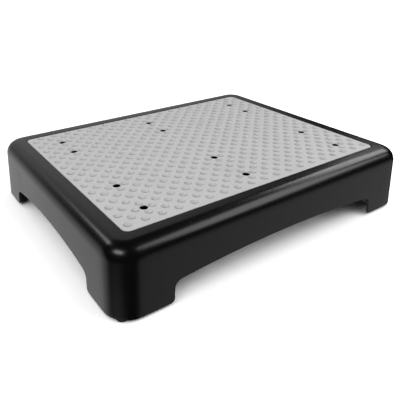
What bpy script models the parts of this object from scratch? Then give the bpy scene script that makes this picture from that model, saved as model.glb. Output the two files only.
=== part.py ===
"""Low outdoor step stool: a drafted plastic shell on four rubber feet, with a grey anti-slip mat.

The shell is one injection moulding. Its four walls are arched between the corner legs, a shallow
tray in the deck takes the mat, and a grid of ribs stiffens the deck from below. The grid is a solid
of its own here, so that the cells between the ribs stay open to anything that touches them.
Metres, +Z up, the floor at z = 0, X along the length and Y along the depth, the origin under the
middle.
"""
import math

import bmesh
import bpy
from mathutils import Matrix

NAME = "step_stool"

# Shell: outer size at its bottom edge, and how it is rounded
BASE_LENGTH = 0.560
BASE_DEPTH = 0.450
SHELL_HEIGHT = 0.099
DRAFT = 0.070  # how far a wall leans in, per metre of height
WALL = 0.003
PLAN_RADIUS = 0.036
EDGE_RADIUS = 0.0205

# Arched cut-outs between the legs
LEG_LENGTH = 0.085  # along the long sides
LEG_DEPTH = 0.084  # along the short sides
LONG_CREST = 0.0394  # above the shell's bottom edge
LONG_DROP = 0.0095  # from the crest down to the shoulder
SHORT_CREST = 0.0394
SHORT_DROP = 0.0123
SHOULDER_RADIUS = 0.014
TOE_RADIUS = 0.007

# Ribs under the deck
RIB_THICKNESS = 0.0025
RIB_PITCH_X = 0.087
RIB_PITCH_Y = 0.075
RIB_ABOVE_CREST = 0.004
RIB_END_SPACE = 0.020  # the least room between the last rib and the wall beside it
GUSSET_REACH = 0.026  # how far a leg's gusset stands in from its wall
GUSSET_LIFT = 0.006  # from the shell's bottom edge up to the gusset

# Mat and the tray that it lies in
RIM_LENGTH = 0.034  # flat rim beside the mat, to where the wall would meet the deck
RIM_DEPTH = 0.035
MAT_THICKNESS = 0.0030
MAT_RADIUS = 0.0095
MAT_SIDE_GAP = 0.0009
MAT_BELOW_RIM = 0.0005
MAT_EDGE_BEVEL = 0.0005
FILM_THICKNESS = 0.0004
FILM_EDGE = 0.006  # the bonding film stops this far inside the mat's edge

# Drain holes, on the lattice of the mat's studs
STUD_PITCH = 0.0254
LATTICE_X = 0.0012
LATTICE_Y = 0.0094
HOLE_DIAMETER = 0.010
HOLE_STEPS_X = (-7.5, -0.5, 7.5)
HOLE_STEPS_Y = (-6, -3, 3, 5)

# Feet: a flange under the leg, a spigot in its socket, a washer and a screw
FOOT_DROP = 0.004  # how far the feet stand below the shell
FOOT_RADIUS = 0.008
FOOT_EDGE_INSET = 0.0008
FOOT_ROUNDING = 0.0010
SPIGOT_RADIUS = 0.0055
SPIGOT_HEIGHT = 0.0048
BOSS_WALL = 0.0030
BOSS_HEIGHT = 0.034
WASHER_RADIUS = 0.0040
WASHER_THICKNESS = 0.0008
SCREW_RADIUS = 0.00175
SCREW_LENGTH = 0.020
SCREW_POINT = 0.0025
HEAD_RADIUS = 0.0034
HEAD_FACE_RADIUS = 0.0027
HEAD_HEIGHT = 0.0016
HEAD_RECESS = 0.0006  # the head stands this far above the floor
DRIVE_WIDTH = 0.0009
DRIVE_SPAN = 0.0036
DRIVE_DEPTH = 0.0010

CLEARANCE = 0.0003  # between pieces that touch
OVERSHOOT = 0.010  # how far a cutter runs past what it cuts
FINE_OVERSHOOT = 0.0005
MERGE_DISTANCE = 0.00001

# Fineness of the round shapes
PLAN_STEPS = 6
EDGE_STEPS = 5
CROWN_STEPS = 16
HOLE_SIDES = 16
PILOT_SIDES = 8
FOOT_SIDES = 24
WASHER_SIDES = 16
SCREW_SIDES = 12
ARC_STEP = math.radians(15)
SHELL_CREASE = 32  # degrees; a sharper bend than this is shaded as an edge
SMALL_CREASE = 40

# Levels and sizes that follow from those
BOTTOM = FOOT_DROP
RIM_TOP = BOTTOM + SHELL_HEIGHT
TOP_LENGTH = BASE_LENGTH - 2 * DRAFT * SHELL_HEIGHT
TOP_DEPTH = BASE_DEPTH - 2 * DRAFT * SHELL_HEIGHT
MAT_LENGTH = TOP_LENGTH - 2 * RIM_LENGTH
MAT_DEPTH = TOP_DEPTH - 2 * RIM_DEPTH
MAT_TOP = RIM_TOP - MAT_BELOW_RIM
MAT_BOTTOM = MAT_TOP - MAT_THICKNESS
FILM_BOTTOM = MAT_BOTTOM - CLEARANCE - FILM_THICKNESS
TRAY_FLOOR = FILM_BOTTOM - CLEARANCE
DECK_UNDERSIDE = TRAY_FLOOR - WALL
RIB_BOTTOM = BOTTOM + max(LONG_CREST, SHORT_CREST) + RIB_ABOVE_CREST
RIB_TOP = DECK_UNDERSIDE - CLEARANCE
BOSS_RADIUS = SPIGOT_RADIUS + CLEARANCE + BOSS_WALL
FOOT_TOP = BOTTOM - CLEARANCE
SPIGOT_TOP = FOOT_TOP + SPIGOT_HEIGHT
HEAD_TOP = HEAD_RECESS + HEAD_HEIGHT
WASHER_BOTTOM = HEAD_TOP + CLEARANCE
WASHER_TOP = WASHER_BOTTOM + WASHER_THICKNESS
COUNTERBORE_TOP = WASHER_TOP + CLEARANCE
SCREW_TOP = HEAD_TOP + SCREW_LENGTH


def clear_scene():
    for item in list(bpy.data.objects):
        bpy.data.objects.remove(item)


def new_collection(name):
    group = bpy.data.collections.new(name)
    bpy.context.scene.collection.children.link(group)
    return group


def new_material(name, colour, roughness, metallic=0.0):
    material = bpy.data.materials.new(name)
    material.use_nodes = True
    shader = material.node_tree.nodes["Principled BSDF"]
    shader.inputs["Base Color"].default_value = (*colour, 1.0)
    shader.inputs["Roughness"].default_value = roughness
    shader.inputs["Metallic"].default_value = metallic
    return material


def add_mesh(name, shape, group, material=None):
    mesh = bpy.data.meshes.new(name)
    shape.to_mesh(mesh)
    shape.free()
    item = bpy.data.objects.new(name, mesh)
    group.objects.link(item)
    if material:
        mesh.materials.append(material)
    return item


def as_cutter(item):
    item.hide_render = True
    item.display_type = "WIRE"
    return item


def add_boolean(item, other, operation, own_overlaps=False):
    step = item.modifiers.new(f"{operation.lower()}_{other.name}", "BOOLEAN")
    step.operation = operation
    step.solver = "EXACT"
    step.use_self = own_overlaps
    step.object = other


def smooth(item, angle=SHELL_CREASE):
    item.data.shade_smooth()
    item.data.set_sharp_from_angle(angle=math.radians(angle))


def block(name, group, length, depth, low, high, plan_radius, lean=0.0, edge_radius=0.0,
          edge_steps=EDGE_STEPS, material=None):
    """A block with rounded upright corners, its sides leaning in above the shell's bottom edge."""
    shape = bmesh.new()
    bmesh.ops.create_cube(shape, size=1.0)
    for corner in shape.verts:
        z = high if corner.co.z > 0 else low
        inset = lean * (z - BOTTOM)
        corner.co.x = math.copysign(length / 2 - inset, corner.co.x)
        corner.co.y = math.copysign(depth / 2 - inset, corner.co.y)
        corner.co.z = z
    uprights = [e for e in shape.edges if abs(e.verts[0].co.z - e.verts[1].co.z) > (high - low) / 2]
    bmesh.ops.bevel(shape, geom=uprights, offset=plan_radius, offset_type="OFFSET",
                    segments=PLAN_STEPS, profile=0.5, affect="EDGES")
    if edge_radius:
        rim = [e for e in shape.edges if min(v.co.z for v in e.verts) > high - MERGE_DISTANCE]
        bmesh.ops.bevel(shape, geom=rim, offset=edge_radius, offset_type="OFFSET",
                        segments=edge_steps, profile=0.5, affect="EDGES")
    return add_mesh(name, shape, group, material)


def add_box(shape, low, high):
    """Adds a plain box between two corners to a mesh being built."""
    middle = [(a + b) / 2 for a, b in zip(low, high)]
    size = [b - a for a, b in zip(low, high)]
    place = Matrix.Translation(middle) @ Matrix.Diagonal((*size, 1.0))
    bmesh.ops.create_cube(shape, size=1.0, matrix=place)


def add_cylinder(shape, x, y, low, high, radius, sides):
    """Adds an upright cylinder between two levels to a mesh being built."""
    place = Matrix.Translation((x, y, (low + high) / 2))
    bmesh.ops.create_cone(shape, cap_ends=True, segments=sides, radius1=radius, radius2=radius,
                          depth=high - low, matrix=place)


def turned(name, group, profile, sides, material=None):
    """A turned piece: a closed profile of (radius, height) points spun about Z."""
    shape = bmesh.new()
    ring = [shape.verts.new((radius, 0.0, height)) for radius, height in profile]
    for first, second in zip(ring, ring[1:]):
        shape.edges.new((first, second))
    if profile[0][0] > 0:
        shape.edges.new((ring[-1], ring[0]))
    item = add_mesh(name, shape, group, material)
    spin = item.modifiers.new("turn", "SCREW")
    spin.steps = sides
    spin.render_steps = sides
    spin.use_merge_vertices = True
    spin.merge_threshold = MERGE_DISTANCE
    spin.use_smooth_shade = True
    return item


def arc(centre, radius, start, end):
    """Points along an arc in a plane, from one angle to another."""
    count = max(2, math.ceil(abs(end - start) / ARC_STEP))
    angles = [start + (end - start) * i / count for i in range(count + 1)]
    return [(centre[0] + radius * math.cos(a), centre[1] + radius * math.sin(a)) for a in angles]


def arch_outline(half_width, crest, drop):
    """Half of the cut-out below an arch: toe, leg edge, shoulder and the long flat crown."""
    crown_radius = (half_width ** 2 + drop ** 2) / (2 * drop)
    crown_centre = crest - crown_radius
    reach = half_width - SHOULDER_RADIUS
    shoulder_level = crown_centre + math.sqrt((crown_radius - SHOULDER_RADIUS) ** 2 - reach ** 2)
    tangent = math.atan2(shoulder_level - crown_centre, reach)
    foot = (half_width + TOE_RADIUS, BOTTOM + TOE_RADIUS)
    points = [(foot[0], BOTTOM - OVERSHOOT)]
    points += arc(foot, TOE_RADIUS, -math.pi / 2, -math.pi)
    points += arc((reach, shoulder_level), SHOULDER_RADIUS, 0.0, tangent)
    angles = [tangent + (math.pi / 2 - tangent) * i / CROWN_STEPS for i in range(1, CROWN_STEPS + 1)]
    points += [(crown_radius * math.cos(a), crown_centre + crown_radius * math.sin(a)) for a in angles]
    return points


def arch_cutter(name, group, half_width, crest, drop, run, quarter_turn):
    """The cut-out's outline as a filled 2D curve, pushed right through the shell, as a mesh."""
    half = arch_outline(half_width, crest, drop)
    outline = half + [(-x, z) for x, z in reversed(half[:-1])]
    curve = bpy.data.curves.new(name, "CURVE")
    curve.dimensions = "2D"
    curve.fill_mode = "BOTH"
    curve.extrude = run / 2 + OVERSHOOT
    line = curve.splines.new("POLY")
    line.points.add(len(outline) - 1)
    for point, (x, z) in zip(line.points, outline):
        point.co = (x, z, 0.0, 1.0)
    line.use_cyclic_u = True
    sketch = bpy.data.objects.new(name + "_outline", curve)
    sketch.rotation_euler = (math.pi / 2, 0.0, math.pi / 2 if quarter_turn else 0.0)
    group.objects.link(sketch)
    bpy.context.view_layer.update()
    graph = bpy.context.evaluated_depsgraph_get()
    mesh = bpy.data.meshes.new_from_object(sketch.evaluated_get(graph))
    shape = bmesh.new()
    shape.from_mesh(mesh)
    bpy.data.meshes.remove(mesh)
    bmesh.ops.remove_doubles(shape, verts=shape.verts, dist=MERGE_DISTANCE)
    bmesh.ops.recalc_face_normals(shape, faces=shape.faces)
    item = add_mesh(name, shape, group)
    item.matrix_world = sketch.matrix_world
    bpy.data.objects.remove(sketch)
    return as_cutter(item)


def rib_positions(pitch, inner_half):
    """Rib planes half a pitch either side of the middle, then a pitch apart, as far as they fit."""
    count = math.floor((inner_half - RIB_END_SPACE) / pitch + 0.5)
    right = [(i + 0.5) * pitch for i in range(count)]
    return [-x for x in reversed(right)] + right


def hole_places():
    return [(LATTICE_X + STUD_PITCH * a, LATTICE_Y + STUD_PITCH * b)
            for a in HOLE_STEPS_X for b in HOLE_STEPS_Y]


def foot_places():
    """The feet lie on the corners' diagonals, close under the outer surface of the shell."""
    step = (PLAN_RADIUS - FOOT_EDGE_INSET - FOOT_RADIUS) / math.sqrt(2)
    x = BASE_LENGTH / 2 - PLAN_RADIUS + step
    y = BASE_DEPTH / 2 - PLAN_RADIUS + step
    return {"front_left": (-x, -y), "front_right": (x, -y), "rear_left": (-x, y), "rear_right": (x, y)}


def drain_cutter(name, group):
    shape = bmesh.new()
    for x, y in hole_places():
        add_cylinder(shape, x, y, DECK_UNDERSIDE - OVERSHOOT, RIM_TOP + OVERSHOOT,
                     HOLE_DIAMETER / 2, HOLE_SIDES)
    return as_cutter(add_mesh(name, shape, group))


def rib_planes():
    return (rib_positions(RIB_PITCH_X, TOP_LENGTH / 2 - WALL),
            rib_positions(RIB_PITCH_Y, TOP_DEPTH / 2 - WALL))


def leg_stiffening(group):
    """Gussets in the legs and bosses over the feet, rooted halfway into the walls."""
    ribs_x, ribs_y = rib_planes()
    half = RIB_THICKNESS / 2
    low = BOTTOM + GUSSET_LIFT
    high = RIB_BOTTOM - CLEARANCE
    shape = bmesh.new()
    for side in (-1, 1):
        for x in (ribs_x[0], ribs_x[-1]):
            ends = sorted((side * BASE_DEPTH / 2, side * (BASE_DEPTH / 2 - GUSSET_REACH)))
            add_box(shape, (x - half, ends[0], low), (x + half, ends[1], high))
        for y in (ribs_y[0], ribs_y[-1]):
            ends = sorted((side * BASE_LENGTH / 2, side * (BASE_LENGTH / 2 - GUSSET_REACH)))
            add_box(shape, (ends[0], y - half, low), (ends[1], y + half, high))
    for x, y in foot_places().values():
        add_cylinder(shape, x, y, BOTTOM, BOTTOM + BOSS_HEIGHT, BOSS_RADIUS, HOLE_SIDES)
    item = as_cutter(add_mesh("leg_stiffening", shape, group))
    trim = block("leg_stiffening_trim", group, BASE_LENGTH - WALL, BASE_DEPTH - WALL, BOTTOM - OVERSHOOT,
                 RIM_TOP - WALL / 2, PLAN_RADIUS - WALL / 2, DRAFT, EDGE_RADIUS - WALL / 2)
    add_boolean(item, as_cutter(trim), "INTERSECT", own_overlaps=True)
    return item


def build_rib_grid(parts, cutters, material):
    """Ribs both ways, as wide as the shell's hollow, in one solid."""
    ribs_x, ribs_y = rib_planes()
    half = RIB_THICKNESS / 2
    shape = bmesh.new()
    for x in ribs_x:
        add_box(shape, (x - half, -BASE_DEPTH / 2, RIB_BOTTOM), (x + half, BASE_DEPTH / 2, RIB_TOP))
    for y in ribs_y:
        add_box(shape, (-BASE_LENGTH / 2, y - half, RIB_BOTTOM), (BASE_LENGTH / 2, y + half, RIB_TOP))
    grid = add_mesh("rib_grid", shape, parts, material)
    inset = WALL + CLEARANCE
    trim = block("rib_grid_trim", cutters, BASE_LENGTH - 2 * inset, BASE_DEPTH - 2 * inset,
                 BOTTOM - OVERSHOOT, RIM_TOP - inset, PLAN_RADIUS - inset, DRAFT, EDGE_RADIUS - inset)
    add_boolean(grid, as_cutter(trim), "INTERSECT", own_overlaps=True)


def build_shell(parts, cutters, material):
    shell = block("shell", parts, BASE_LENGTH, BASE_DEPTH, BOTTOM, RIM_TOP, PLAN_RADIUS, DRAFT,
                  EDGE_RADIUS, material=material)
    hollow = block("shell_hollow", cutters, BASE_LENGTH - 2 * WALL, BASE_DEPTH - 2 * WALL,
                   BOTTOM - OVERSHOOT, RIM_TOP - WALL, PLAN_RADIUS - WALL, DRAFT, EDGE_RADIUS - WALL)
    tray_length = MAT_LENGTH + 2 * MAT_SIDE_GAP
    tray_depth = MAT_DEPTH + 2 * MAT_SIDE_GAP
    tray_radius = MAT_RADIUS + MAT_SIDE_GAP
    pan = block("tray_pan", cutters, tray_length + 2 * WALL, tray_depth + 2 * WALL, DECK_UNDERSIDE,
                RIM_TOP - WALL / 2, tray_radius + WALL)
    tray = block("tray_recess", cutters, tray_length, tray_depth, TRAY_FLOOR, RIM_TOP + OVERSHOOT,
                 tray_radius)
    sockets = bmesh.new()
    pilots = bmesh.new()
    for x, y in foot_places().values():
        add_cylinder(sockets, x, y, BOTTOM - OVERSHOOT, SPIGOT_TOP + CLEARANCE,
                     SPIGOT_RADIUS + CLEARANCE, HOLE_SIDES)
        add_cylinder(pilots, x, y, BOTTOM - OVERSHOOT, SCREW_TOP + CLEARANCE,
                     SCREW_RADIUS + CLEARANCE, PILOT_SIDES)
    long_arch = arch_cutter("long_side_arches", cutters, BASE_LENGTH / 2 - LEG_LENGTH,
                            BOTTOM + LONG_CREST, LONG_DROP, BASE_DEPTH, False)
    short_arch = arch_cutter("short_side_arches", cutters, BASE_DEPTH / 2 - LEG_DEPTH,
                             BOTTOM + SHORT_CREST, SHORT_DROP, BASE_LENGTH, True)
    add_boolean(shell, as_cutter(hollow), "DIFFERENCE")
    add_boolean(shell, as_cutter(pan), "UNION")
    add_boolean(shell, as_cutter(tray), "DIFFERENCE")
    add_boolean(shell, leg_stiffening(cutters), "UNION")
    add_boolean(shell, long_arch, "DIFFERENCE")
    add_boolean(shell, short_arch, "DIFFERENCE")
    add_boolean(shell, drain_cutter("deck_drains", cutters), "DIFFERENCE")
    add_boolean(shell, as_cutter(add_mesh("foot_sockets", sockets, cutters)), "DIFFERENCE")
    add_boolean(shell, as_cutter(add_mesh("screw_pilots", pilots, cutters)), "DIFFERENCE")
    smooth(shell)


def build_mat(parts, cutters, mat_rubber, film_tape):
    mat = block("tread_mat", parts, MAT_LENGTH, MAT_DEPTH, MAT_BOTTOM, MAT_TOP, MAT_RADIUS,
                edge_radius=MAT_EDGE_BEVEL, edge_steps=1, material=mat_rubber)
    film = block("bonding_film", parts, MAT_LENGTH - 2 * FILM_EDGE, MAT_DEPTH - 2 * FILM_EDGE,
                 FILM_BOTTOM, FILM_BOTTOM + FILM_THICKNESS, MAT_RADIUS - FILM_EDGE, material=film_tape)
    for sheet, cutter_name in ((mat, "mat_drains"), (film, "film_drains")):
        add_boolean(sheet, drain_cutter(cutter_name, cutters), "DIFFERENCE")


def foot_profile():
    """The rubber foot's section: inner bores first going up, then the outside going down."""
    screw_bore = SCREW_RADIUS + CLEARANCE
    counterbore = WASHER_RADIUS + CLEARANCE
    edge = arc((FOOT_RADIUS - FOOT_ROUNDING, FOOT_ROUNDING), FOOT_ROUNDING, 0.0, -math.pi / 2)
    return [(screw_bore, COUNTERBORE_TOP), (screw_bore, SPIGOT_TOP), (SPIGOT_RADIUS, SPIGOT_TOP),
            (SPIGOT_RADIUS, FOOT_TOP), (FOOT_RADIUS, FOOT_TOP), *edge,
            (counterbore, 0.0), (counterbore, COUNTERBORE_TOP)]


def build_feet(parts, cutters, rubber, steel):
    """One foot, washer and screw under each leg. The copies share the first one's meshes."""
    bore = SCREW_RADIUS + CLEARANCE
    rest = bpy.data.objects.new("feet", None)
    parts.objects.link(rest)
    drive = bmesh.new()
    drive_top = HEAD_RECESS + DRIVE_DEPTH
    for half_x, half_y in ((DRIVE_SPAN / 2, DRIVE_WIDTH / 2), (DRIVE_WIDTH / 2, DRIVE_SPAN / 2)):
        add_box(drive, (-half_x, -half_y, HEAD_RECESS - FINE_OVERSHOOT), (half_x, half_y, drive_top))
    cross = as_cutter(add_mesh("cross_drive", drive, cutters))
    washer = [(bore, WASHER_BOTTOM), (bore, WASHER_TOP), (WASHER_RADIUS, WASHER_TOP),
              (WASHER_RADIUS, WASHER_BOTTOM)]
    screw = [(0.0, SCREW_TOP), (SCREW_RADIUS, SCREW_TOP - SCREW_POINT), (SCREW_RADIUS, HEAD_TOP),
             (HEAD_RADIUS, HEAD_TOP), (HEAD_RADIUS, HEAD_RECESS + HEAD_HEIGHT / 2),
             (HEAD_FACE_RADIUS, HEAD_RECESS), (0.0, HEAD_RECESS)]
    kinds = {"foot": (foot_profile(), FOOT_SIDES, rubber), "washer": (washer, WASHER_SIDES, steel),
             "screw": (screw, SCREW_SIDES, steel)}
    meshes = {}
    for kind, (profile, sides, material) in kinds.items():
        pattern = turned("pattern_" + kind, cutters, profile, sides, material)
        if kind == "screw":
            add_boolean(pattern, cross, "DIFFERENCE", own_overlaps=True)
        bpy.context.view_layer.update()
        graph = bpy.context.evaluated_depsgraph_get()
        meshes[kind] = bpy.data.meshes.new_from_object(pattern.evaluated_get(graph))
        meshes[kind].name = kind
        bpy.data.objects.remove(pattern)
    for corner, (x, y) in foot_places().items():
        for kind, mesh in meshes.items():
            item = bpy.data.objects.new(f"{corner}_{kind}", mesh)
            item.location = (x, y, 0.0)
            item.parent = rest
            parts.objects.link(item)
            smooth(item, SMALL_CREASE)


def main():
    clear_scene()
    parts = new_collection(NAME)
    cutters = new_collection(NAME + "_cutters")
    black_plastic = new_material("black polypropylene", (0.018, 0.018, 0.018), 0.38)
    grey_rubber = new_material("grey studded rubber", (0.52, 0.52, 0.52), 0.75)
    clear_tape = new_material("double-sided bonding film", (0.80, 0.79, 0.74), 0.50)
    black_rubber = new_material("black foot rubber", (0.015, 0.015, 0.015), 0.80)
    zinc_steel = new_material("zinc-plated steel", (0.62, 0.63, 0.65), 0.35, 1.0)
    build_shell(parts, cutters, black_plastic)
    build_rib_grid(parts, cutters, black_plastic)
    build_mat(parts, cutters, grey_rubber, clear_tape)
    build_feet(parts, cutters, black_rubber, zinc_steel)


main()
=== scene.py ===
"""Low outdoor step stool: a black moulded shell on rubber feet, with a grey studded mat in its top."""
import math

import bmesh
import bpy
import numpy as np
from mathutils import Matrix, Vector


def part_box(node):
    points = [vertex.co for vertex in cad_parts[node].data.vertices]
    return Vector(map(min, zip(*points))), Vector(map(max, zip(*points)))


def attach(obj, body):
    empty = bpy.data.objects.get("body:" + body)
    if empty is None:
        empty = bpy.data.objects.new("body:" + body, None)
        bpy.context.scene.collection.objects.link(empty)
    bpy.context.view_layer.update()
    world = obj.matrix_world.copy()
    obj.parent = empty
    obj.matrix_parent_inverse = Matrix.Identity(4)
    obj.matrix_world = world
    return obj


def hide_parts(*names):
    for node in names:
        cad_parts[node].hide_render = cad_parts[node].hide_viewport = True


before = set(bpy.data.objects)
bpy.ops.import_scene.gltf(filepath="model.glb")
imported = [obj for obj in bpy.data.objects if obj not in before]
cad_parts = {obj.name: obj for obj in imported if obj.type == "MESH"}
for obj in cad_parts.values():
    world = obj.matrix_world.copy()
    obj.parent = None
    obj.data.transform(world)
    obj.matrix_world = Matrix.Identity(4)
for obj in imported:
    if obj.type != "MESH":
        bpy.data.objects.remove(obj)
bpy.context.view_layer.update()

# ---------------------------------------------------------------------------------------------
# Shell: one injection moulding in black polypropylene. Drafted walls are arched between the four
# legs, a shallow tray in the deck takes the mat, and ribs, leg gussets and foot bosses stiffen it
# from below. Every outside edge is rounded, so that it leaves the mould and is kind to shins.

shell_low, shell_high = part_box("shell")
mat_low, mat_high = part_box("tread_mat")
film_low, film_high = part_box("bonding_film")
BOTTOM = shell_low.z
TOP = shell_high.z
HALF_LENGTH = shell_high.x
HALF_DEPTH = shell_high.y
LEAN = 0.070  # how far a wall leans in, per metre of height
WALL = 0.003
PLAN_RADIUS = 0.036
EDGE_REACH = 0.0205  # where the top rounding starts, from the corner that it rounds off
LEG_LENGTH = 0.085
LEG_DEPTH = 0.084
ARCH_CREST = 0.0394
LONG_DROP = 0.0095
SHORT_DROP = 0.0123
SHOULDER_RADIUS = 0.014
TOE_RADIUS = 0.007
LIP_RADIUS = 0.0009  # the small rounding along the lower edge of the walls
TRAY_GAP = 0.0009
TRAY_RADIUS = 0.0104
TRAY_LIP = 0.0006
SEAT_GAP = 0.0003  # the CAD keeps this between pieces that touch
TRAY_FLOOR = film_low.z - SEAT_GAP
DECK_UNDERSIDE = TRAY_FLOOR - WALL
RIB_PITCH_X = 0.087
RIB_PITCH_Y = 0.075
RIB_COUNT_X = 6
RIB_COUNT_Y = 6
RIB_THICKNESS = 0.0025
RIB_BOTTOM = BOTTOM + ARCH_CREST + 0.004
GUSSET_REACH = 0.026
GUSSET_LIFT = 0.006
FOOT_RADIUS = 0.008
FOOT_INSET = 0.0008
SOCKET_RADIUS = 0.0058
SOCKET_TOP = BOTTOM + 0.0048
PILOT_RADIUS = 0.00205
PILOT_TOP = 0.0225
BOSS_RADIUS = SOCKET_RADIUS + WALL
BOSS_TOP = BOTTOM + 0.034
DRAIN_RADIUS = 0.00575  # the hole in the mat, whose wall a thin black lining from the deck covers as painted shade
SHADE_LINING_GAP = 0.00005
SHADE_LINING_WALL = 0.00025
SHADE_LINING_DROP = 0.0011  # how far below the top of the mat a black lining ends
STUD_PITCH = 0.0254
LATTICE_X = 0.0012
LATTICE_Y = 0.0094
DRAIN_STEPS_X = (-7.5, -0.5, 7.5)
DRAIN_STEPS_Y = (-6, -3, 3, 5)
WALL_FACING = ((0, -1), (1, 0), (0, 1), (-1, 0))
CORNER_STEPS = 14
LEG_STEPS = 4
TOE_STEPS = 7
SHOULDER_STEPS = 10
CROWN_STEPS = 20
LIP_STEPS = 4
OUTER_SHARES = (0.93, 0.75, 0.5, 0.25, 0.05)  # loops on the walls, as shares of their height
INNER_SHARES = (0.05, 0.35, 0.65, 0.95)
SINK_WIDTH = 0.0045
SINK_DEPTH = 0.00006
GRAIN_SIZE = 0.0009  # the mould's grain is about 0.1 mm, drawn coarser so that it shows


def to_linear(code):
    """A six-digit sRGB hex colour as linear red, green, blue and alpha."""
    parts = [int(code[i:i + 2], 16) / 255 for i in (1, 3, 5)]
    return (*[p / 12.92 if p <= 0.04045 else ((p + 0.055) / 1.055) ** 2.4 for p in parts], 1.0)


def add_node(tree, kind, inputs=None, **settings):
    """Adds one node, sets its properties, and fills or links its inputs."""
    node = tree.nodes.new(kind)
    for name, value in settings.items():
        setattr(node, name, value)
    for key, value in (inputs or {}).items():
        if isinstance(value, bpy.types.NodeSocket):
            tree.links.new(value, node.inputs[key])
        else:
            node.inputs[key].default_value = value
    return node


def new_material(name, colour, **sockets):
    """A Principled material, with its constants set on the shader's own sockets."""
    material = bpy.data.materials.new(name)
    material.use_nodes = True
    shader = material.node_tree.nodes["Principled BSDF"]
    shader.inputs["Base Color"].default_value = to_linear(colour)
    for key, value in sockets.items():
        shader.inputs[key.replace("_", " ")].default_value = value
    return material, material.node_tree, shader


def new_piece(name, mesh):
    piece = bpy.data.objects.new(name, mesh)
    bpy.context.scene.collection.objects.link(piece)
    return piece


def to_mesh(shape, name):
    mesh = bpy.data.meshes.new(name)
    shape.to_mesh(mesh)
    shape.free()
    return mesh


def finished(piece):
    """The piece with its modifiers applied, as a plain mesh."""
    bpy.context.view_layer.update()
    graph = bpy.context.evaluated_depsgraph_get()
    mesh = bpy.data.meshes.new_from_object(piece.evaluated_get(graph))
    piece.modifiers.clear()
    piece.data = mesh
    return piece


def smooth(piece, degrees):
    piece.data.shade_smooth()
    piece.data.set_sharp_from_angle(angle=math.radians(degrees))


def arc(centre, radius, start, end, steps):
    turn = [start + (end - start) * i / steps for i in range(steps + 1)]
    return [(centre[0] + radius * math.cos(a), centre[1] + radius * math.sin(a)) for a in turn]


def wall_foot(half_run, half_gap, drop):
    """The lower edge of one wall as points along it and their heights: leg, toe, shoulder, arch."""
    crest = BOTTOM + ARCH_CREST
    crown_radius = (half_gap ** 2 + drop ** 2) / (2 * drop)
    crown_centre = crest - crown_radius
    reach = half_gap - SHOULDER_RADIUS
    shoulder = crown_centre + math.sqrt((crown_radius - SHOULDER_RADIUS) ** 2 - reach ** 2)
    tangent = math.atan2(shoulder - crown_centre, reach)
    toe = half_gap + TOE_RADIUS
    half = [(half_run + (toe - half_run) * i / LEG_STEPS, BOTTOM) for i in range(LEG_STEPS)]
    half += arc((toe, BOTTOM + TOE_RADIUS), TOE_RADIUS, -math.pi / 2, -math.pi, TOE_STEPS)
    half += [(half_gap, (BOTTOM + TOE_RADIUS + shoulder) / 2)]
    half += arc((reach, shoulder), SHOULDER_RADIUS, 0.0, tangent, SHOULDER_STEPS)
    half += arc((0.0, crown_centre), crown_radius, tangent, math.pi / 2, CROWN_STEPS)[1:]
    return [(-x, z) for x, z in half] + [(x, z) for x, z in reversed(half[:-1])]


def stations():
    """Every upright station round the shell: its wall or corner, its foot and its place at the top."""
    rows = []
    for wall in range(4):
        along_x = wall % 2 == 0
        run = (HALF_LENGTH if along_x else HALF_DEPTH) - PLAN_RADIUS
        gap = (HALF_LENGTH - LEG_LENGTH) if along_x else (HALF_DEPTH - LEG_DEPTH)
        foot = np.array(wall_foot(run, gap, LONG_DROP if along_x else SHORT_DROP))
        slope = np.gradient(foot, axis=0)
        slope /= np.linalg.norm(slope, axis=1)[:, None]
        slope[[0, -1]] = (1.0, 0.0)
        travel = np.r_[0.0, np.cumsum(np.linalg.norm(np.diff(foot, axis=0), axis=1))]
        share = 2 * travel / travel[-1] - 1
        rows += [(wall, 0, *f, s, -n[1], n[0]) for f, s, n in zip(foot, share, slope)]
        for step in range(1, CORNER_STEPS):
            turn = math.radians(-90 + 90 * wall + 90 * step / CORNER_STEPS)
            rows.append((wall, 1, turn, BOTTOM, 0.0, 0.0, 1.0))
    return np.array(rows)


STATIONS = stations()


def ring(z, half_x, half_y, radius, along=None):
    """One closed loop of points round a rounded rectangle, a point for each station."""
    wall = STATIONS[:, 0].astype(int)
    corner = STATIONS[:, 1] == 1
    z, half_x, half_y = (np.broadcast_to(v, len(STATIONS)) for v in (z, half_x, half_y))
    facing = np.array(WALL_FACING)[wall]
    tangent = np.stack([-facing[:, 1], facing[:, 0]], axis=1)
    out = np.where(facing[:, 0] != 0, half_x, half_y)
    end = np.where(facing[:, 0] != 0, half_y, half_x) - radius
    run = STATIONS[:, 4] * end if along is None else along
    flat = facing * out[:, None] + tangent * run[:, None]
    signs = facing + tangent
    centre = signs * np.stack([half_x - radius, half_y - radius], axis=1)
    turn = STATIONS[:, 2]
    bend = centre + radius * np.stack([np.cos(turn), np.sin(turn)], axis=1)
    return np.column_stack([np.where(corner[:, None], bend, flat), z])


def wall_ring(share, depth, low_offset, top):
    """A loop on a wall, a share of the way from its lower edge up to a level, and a depth inside it."""
    foot_u = STATIONS[:, 2] + STATIONS[:, 5] * low_offset
    foot_z = STATIONS[:, 3] + STATIONS[:, 6] * low_offset
    z = foot_z + share * (top - foot_z)
    in_x = HALF_LENGTH - LEAN * (z - BOTTOM) - depth
    in_y = HALF_DEPTH - LEAN * (z - BOTTOM) - depth
    radius = PLAN_RADIUS - depth
    side_wall = STATIONS[:, 0].astype(int) % 2 == 1
    top_end = np.where(side_wall, HALF_DEPTH, HALF_LENGTH) - LEAN * (top - BOTTOM) - PLAN_RADIUS
    along = (1 - share) * foot_u + share * STATIONS[:, 4] * top_end
    return ring(z, in_x, in_y, radius, along)


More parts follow.
